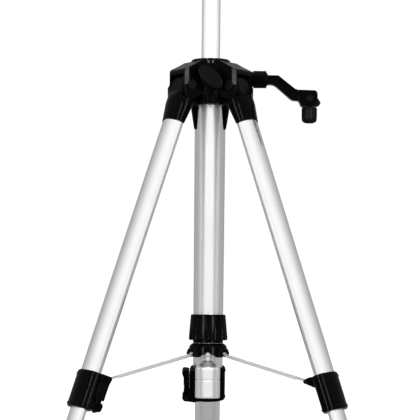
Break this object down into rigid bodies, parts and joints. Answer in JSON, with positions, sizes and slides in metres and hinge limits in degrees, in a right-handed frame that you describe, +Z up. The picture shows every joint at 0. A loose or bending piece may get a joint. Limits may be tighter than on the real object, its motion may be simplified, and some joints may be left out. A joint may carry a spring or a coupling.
{
  "type": "laser level on tripod",
  "caption": "Line laser level on an elevator tripod with oval leg sections, flip levers, sliding spreader, geared column and folding crank.",
  "frame": {"origin": "on the floor plane, on the centre column's axis", "axes": "+Z up along the column; +Y towards the rear leg, away from the viewer; +X to the crank side"},
  "size_m": [0.4538, 0.3969, 0.9411],
  "materials": {
    "aluminium": "satin anodised",
    "steel": "zinc plated",
    "black_steel": "black oxide",
    "rubber": "matt",
    "black_plastic": "moulded, faint sheen",
    "laser_shell": "fine textured",
    "bumper": "matt",
    "window": "clear",
    "slider": "gloss"
  },
  "bodies": {
    "hub": {"spider_body": "black_plastic", "spider_cap": "black_plastic", "column_sleeve": "aluminium", "leg_pivot_pins": "black_steel", "hub_screws": "black_steel"},
    "lock_knob": {"lock_knob": "black_plastic"},
    "crank": {"pinion_shaft": "steel", "crank_arm": "black_plastic", "grip_hinge_pin": "black_steel"},
    "grip_fold": {"grip_spindle": "black_steel"},
    "grip": {"grip_sleeve": "black_plastic"},
    "column": {"column_tube": "aluminium", "gear_rack": "steel", "column_end_stop": "aluminium", "head_platform": "black_plastic", "head_stud": "steel", "laser_base": "black_plastic"},
    "lock_ring": {"lock_ring": "black_plastic"},
    "spreader": {"brace_collar": "black_plastic", "brace_pins": "black_steel"},
    "laser": {"laser_housing": "laser_shell", "laser_bumper": "bumper", "laser_windows": "window"},
    "pendulum": {"laser_pendulum": "steel"},
    "slider": {"laser_slider": "slider"},
    "button": {"laser_button": "laser_shell"},
    "battery_cover": {"battery_cover": "laser_shell"},
    "leg_a": {"shoulder_a": "black_plastic", "upper_tube_a": "aluminium", "upper_clamp_a": "black_plastic", "clamp_pins_a": "black_steel"},
    "upper_lever_a": {"upper_lever_a": "black_plastic"},
    "mid_a": {"mid_tube_a": "aluminium", "lower_clamp_a": "black_plastic"},
    "lower_lever_a": {"lower_lever_a": "black_plastic"},
    "lower_a": {"lower_tube_a": "aluminium", "foot_a": "rubber"},
    "brace_a": {"brace_arm_a": "aluminium"},
    "leg_b": {"shoulder_b": "black_plastic", "upper_tube_b": "aluminium", "upper_clamp_b": "black_plastic", "clamp_pins_b": "black_steel"},
    "upper_lever_b": {"upper_lever_b": "black_plastic"},
    "mid_b": {"mid_tube_b": "aluminium", "lower_clamp_b": "black_plastic"},
    "lower_lever_b": {"lower_lever_b": "black_plastic"},
    "lower_b": {"lower_tube_b": "aluminium", "foot_b": "rubber"},
    "brace_b": {"brace_arm_b": "aluminium"},
    "leg_c": {"shoulder_c": "black_plastic", "upper_tube_c": "aluminium", "upper_clamp_c": "black_plastic", "clamp_pins_c": "black_steel"},
    "upper_lever_c": {"upper_lever_c": "black_plastic"},
    "mid_c": {"mid_tube_c": "aluminium", "lower_clamp_c": "black_plastic"},
    "lower_lever_c": {"lower_lever_c": "black_plastic"},
    "lower_c": {"lower_tube_c": "aluminium", "foot_c": "rubber"},
    "brace_c": {"brace_arm_c": "aluminium"}
  },
  "joints": [
    {"name": "fold_a", "type": "hinge", "parent": "hub", "child": "leg_a", "pos_m": [0.02771, -0.016, 0.612], "axis": [0.5, 0.866, 0], "range_deg": [0, 16.5]},
    {"name": "fold_b", "type": "hinge", "parent": "hub", "child": "leg_b", "pos_m": [-0.02771, -0.016, 0.612], "axis": [0.5, -0.866, 0], "range_deg": [0, 16.5]},
    {"name": "fold_c", "type": "hinge", "parent": "hub", "child": "leg_c", "pos_m": [0, 0.032, 0.612], "axis": [-1, 0, 0], "range_deg": [0, 16.5]},
    {"name": "spreader_slide", "type": "slide", "parent": "hub", "child": "spreader", "axis": [0, 0, 1], "range_m": [-0.0001, 0.0622]},
    {"name": "brace_hinge_a", "type": "hinge", "parent": "spreader", "child": "brace_a", "pos_m": [0.01472, -0.0085, 0.346], "axis": [0.5, 0.866, 0], "range_deg": [-0.1, 71.8]},
    {"name": "brace_hinge_b", "type": "hinge", "parent": "spreader", "child": "brace_b", "pos_m": [-0.01472, -0.0085, 0.346], "axis": [0.5, -0.866, 0], "range_deg": [-0.1, 71.8]},
    {"name": "brace_hinge_c", "type": "hinge", "parent": "spreader", "child": "brace_c", "pos_m": [0, 0.017, 0.346], "axis": [-1, 0, 0], "range_deg": [-0.1, 71.8]},
    {"name": "lock_ring_turn", "type": "hinge", "parent": "spreader", "child": "lock_ring", "pos_m": [0, 0, 0.37], "axis": [0, 0, 1], "range_deg": [0, 50]},
    {"name": "lock_knob_turn", "type": "hinge", "parent": "hub", "child": "lock_knob", "pos_m": [0, -0.033, 0.619], "axis": [0, -1, 0], "range_deg": [-70, 110]},
    {"name": "column_lift", "type": "slide", "parent": "hub", "child": "column", "axis": [0, 0, 1], "range_m": [-0.18, 0]},
    {"name": "crank_turn", "type": "hinge", "parent": "hub", "child": "crank", "pos_m": [0, 0.0156, 0.6226], "axis": [1, 0, 0], "range_deg": [-1, 1639]},
    {"name": "grip_fold_out", "type": "hinge", "parent": "crank", "child": "grip_fold", "pos_m": [0.0998, 0.0156, 0.6036], "axis": [0, -1, 0], "range_deg": [0, 90]},
    {"name": "grip_spin", "type": "hinge", "parent": "grip_fold", "child": "grip", "pos_m": [0.0998, 0.0156, 0.588], "axis": [0, 0, 1], "continuous": true},
    {"name": "mid_slide_a", "type": "slide", "parent": "leg_a", "child": "mid_a", "axis": [-0.2919, 0.1685, 0.9415], "range_m": [-0.05, 0.136]},
    {"name": "lower_slide_a", "type": "slide", "parent": "mid_a", "child": "lower_a", "axis": [-0.2919, 0.1685, 0.9415], "range_m": [-0.06, 0.105]},
    {"name": "upper_lever_turn_a", "type": "hinge", "parent": "leg_a", "child": "upper_lever_a", "pos_m": [0.12918, -0.04849, 0.29717], "axis": [-0.8153, 0.4707, -0.3371], "range_deg": [0, 100]},
    {"name": "lower_lever_turn_a", "type": "hinge", "parent": "mid_a", "child": "lower_lever_a", "pos_m": [0.18064, -0.08097, 0.13359], "axis": [-0.8153, 0.4707, -0.3371], "range_deg": [0, 100]},
    {"name": "mid_slide_b", "type": "slide", "parent": "leg_b", "child": "mid_b", "axis": [0.2919, 0.1685, 0.9415], "range_m": [-0.05, 0.136]},
    {"name": "lower_slide_b", "type": "slide", "parent": "mid_b", "child": "lower_b", "axis": [0.2919, 0.1685, 0.9415], "range_m": [-0.06, 0.105]},
    {"name": "upper_lever_turn_b", "type": "hinge", "parent": "leg_b", "child": "upper_lever_b", "pos_m": [-0.10658, -0.08763, 0.29717], "axis": [0.8153, 0.4707, -0.3371], "range_deg": [0, 100]},
    {"name": "lower_lever_turn_b", "type": "hinge", "parent": "mid_b", "child": "lower_lever_b", "pos_m": [-0.16044, -0.11595, 0.13359], "axis": [0.8153, 0.4707, -0.3371], "range_deg": [0, 100]},
    {"name": "mid_slide_c", "type": "slide", "parent": "leg_c", "child": "mid_c", "axis": [0, -0.3371, 0.9415], "range_m": [-0.05, 0.136]},
    {"name": "lower_slide_c", "type": "slide", "parent": "mid_c", "child": "lower_c", "axis": [0, -0.3371, 0.9415], "range_m": [-0.06, 0.105]},
    {"name": "upper_lever_turn_c", "type": "hinge", "parent": "leg_c", "child": "upper_lever_c", "pos_m": [-0.0226, 0.13612, 0.29717], "axis": [0, -0.9415, -0.3371], "range_deg": [0, 100]},
    {"name": "lower_lever_turn_c", "type": "hinge", "parent": "mid_c", "child": "lower_lever_c", "pos_m": [-0.0202, 0.19692, 0.13359], "axis": [0, -0.9415, -0.3371], "range_deg": [0, 100]},
    {"name": "laser_turn", "type": "hinge", "parent": "column", "child": "laser", "pos_m": [0, 0, 0.861], "axis": [0, 0, 1], "continuous": true},
    {"name": "pendulum_swing", "type": "hinge", "parent": "laser", "child": "pendulum", "pos_m": [0, -0.008, 0.924], "axis": [0, 1, 0], "range_deg": [-4, 4]},
    {"name": "lock_slider_move", "type": "slide", "parent": "laser", "child": "slider", "axis": [0, 1, 0], "range_m": [0, 0.0075]},
    {"name": "button_press", "type": "slide", "parent": "laser", "child": "button", "axis": [0, 0, -1], "range_m": [0, 0.0008], "stiffness_N_per_m": 800},
    {"name": "battery_cover_open", "type": "hinge", "parent": "laser", "child": "battery_cover", "pos_m": [0, 0.0314, 0.8698], "axis": [-1, 0, 0], "range_deg": [0, 95]}
  ],
  "couplings": [
    {"joint": "fold_b", "follows": "fold_a", "ratio": 1},
    {"joint": "fold_c", "follows": "fold_a", "ratio": 1},
    {"joint": "spreader_slide", "follows": "fold_a", "m_per_rad": 0.21529},
    {"joint": "brace_hinge_a", "follows": "fold_a", "ratio": 4.3333},
    {"joint": "brace_hinge_b", "follows": "fold_a", "ratio": 4.3333},
    {"joint": "brace_hinge_c", "follows": "fold_a", "ratio": 4.3333},
    {"joint": "crank_turn", "follows": "column_lift", "rad_per_m": -158.73}
  ]
}
